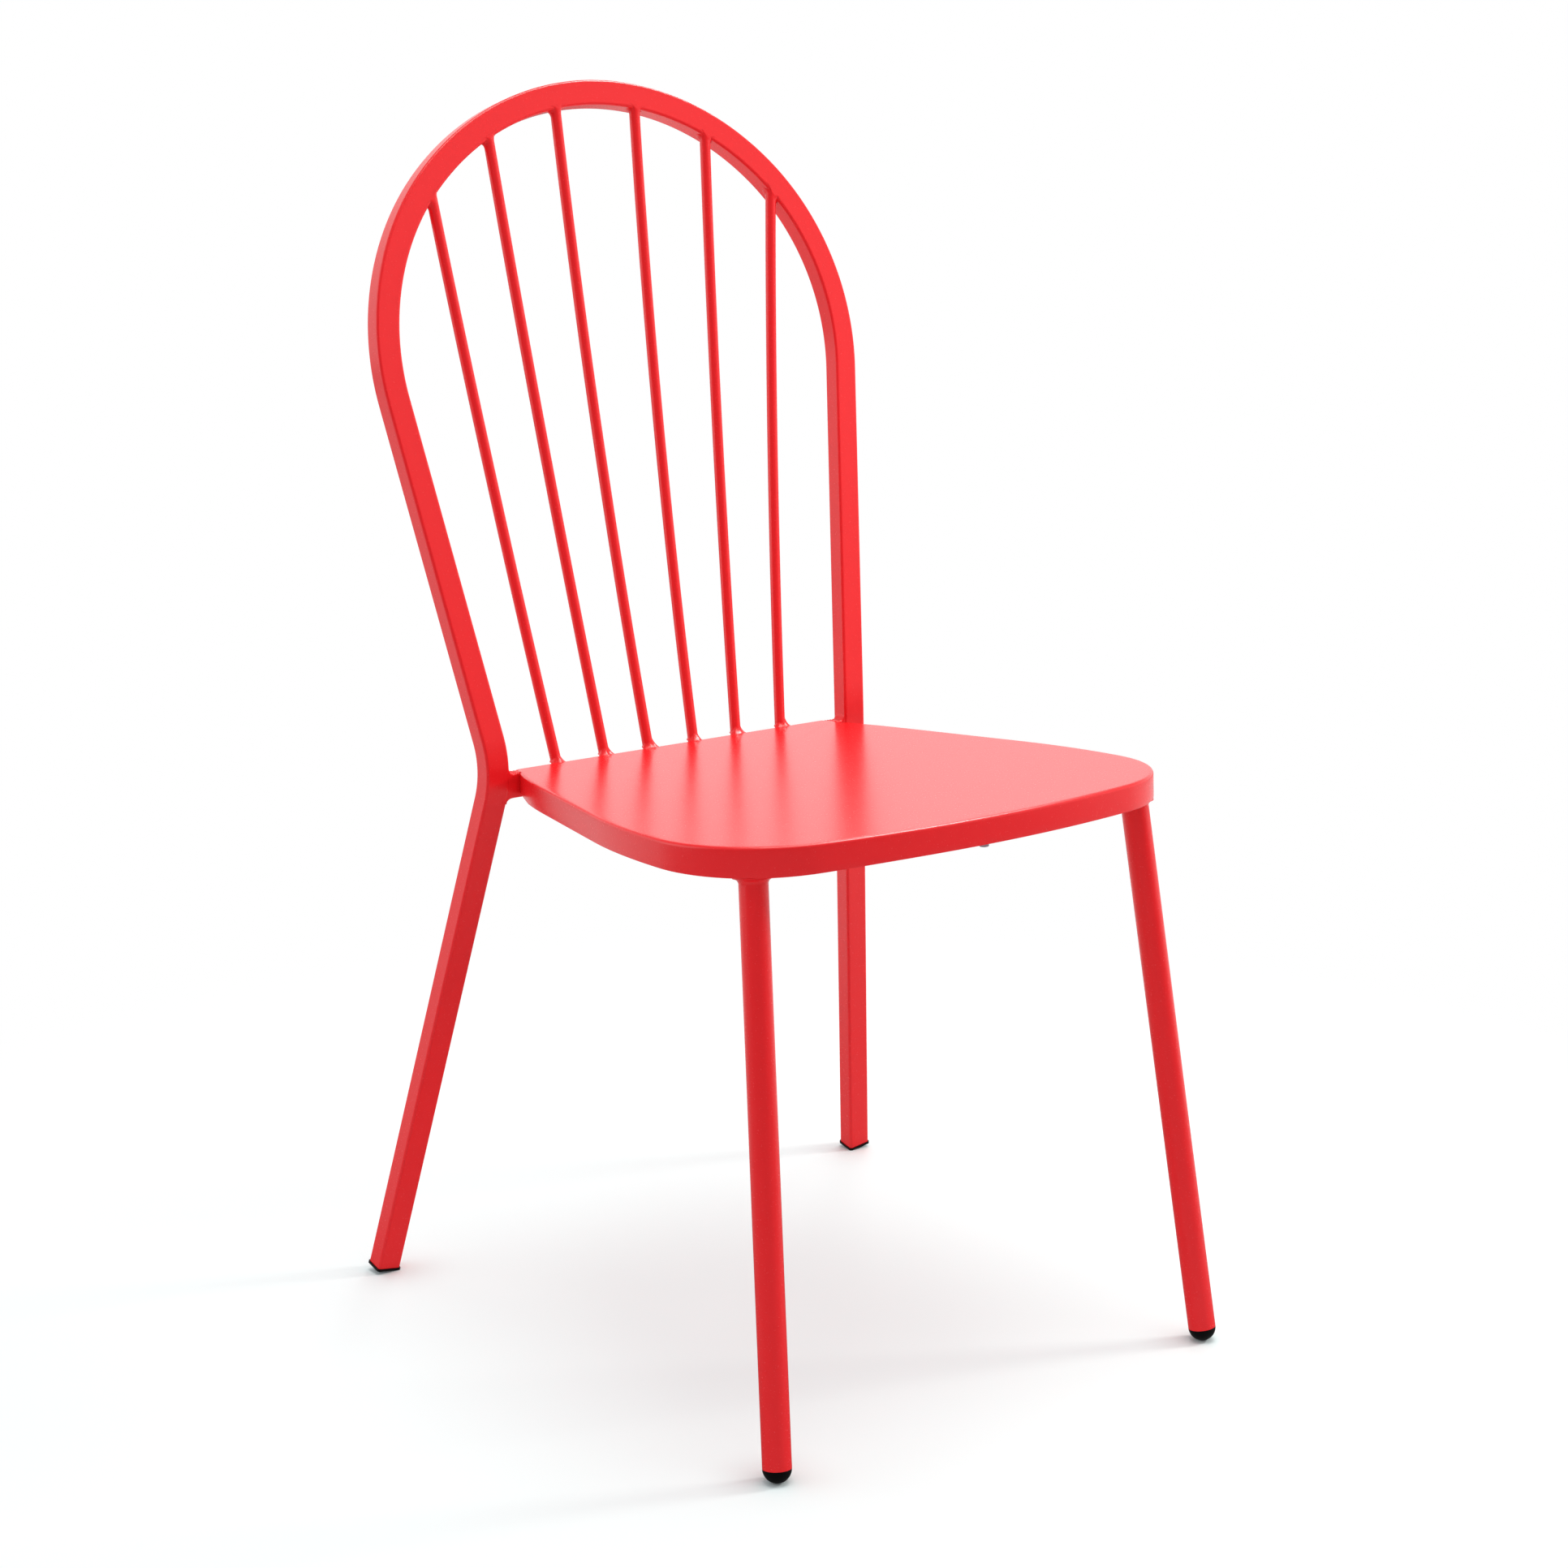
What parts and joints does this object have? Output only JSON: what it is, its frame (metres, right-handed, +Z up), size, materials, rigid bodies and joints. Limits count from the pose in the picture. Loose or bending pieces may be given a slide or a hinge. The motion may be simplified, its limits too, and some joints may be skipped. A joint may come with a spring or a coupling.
{
  "type": "garden chair",
  "caption": "Metal garden chair with a hoop back of slim upright rods, a pressed seat pan with a folded lip, splayed front legs and rear legs bent from the same tube as the hoop.",
  "frame": {"origin": "on the floor, under the middle of the chair's box", "axes": "+Z up, -Y to the front of the chair (the way a person on it looks), +X to that person's left"},
  "size_m": [0.5118, 0.5662, 0.9584],
  "materials": {
    "red_powder_coat": "satin powder coat",
    "black_plastic": "matte",
    "clear_plastic": "translucent"
  },
  "bodies": {
    "root": {"back_hoop": "red_powder_coat", "rear_rail": "red_powder_coat", "seat_pan": "red_powder_coat", "front_leg_right": "red_powder_coat", "front_leg_left": "red_powder_coat", "spindle_1": "red_powder_coat", "spindle_2": "red_powder_coat", "spindle_3": "red_powder_coat", "spindle_4": "red_powder_coat", "spindle_5": "red_powder_coat", "spindle_6": "red_powder_coat", "front_plug_right": "black_plastic", "front_plug_left": "black_plastic", "rear_cap_right": "black_plastic", "rear_cap_left": "black_plastic", "seat_bumper": "clear_plastic"}
  },
  "joints": []
}
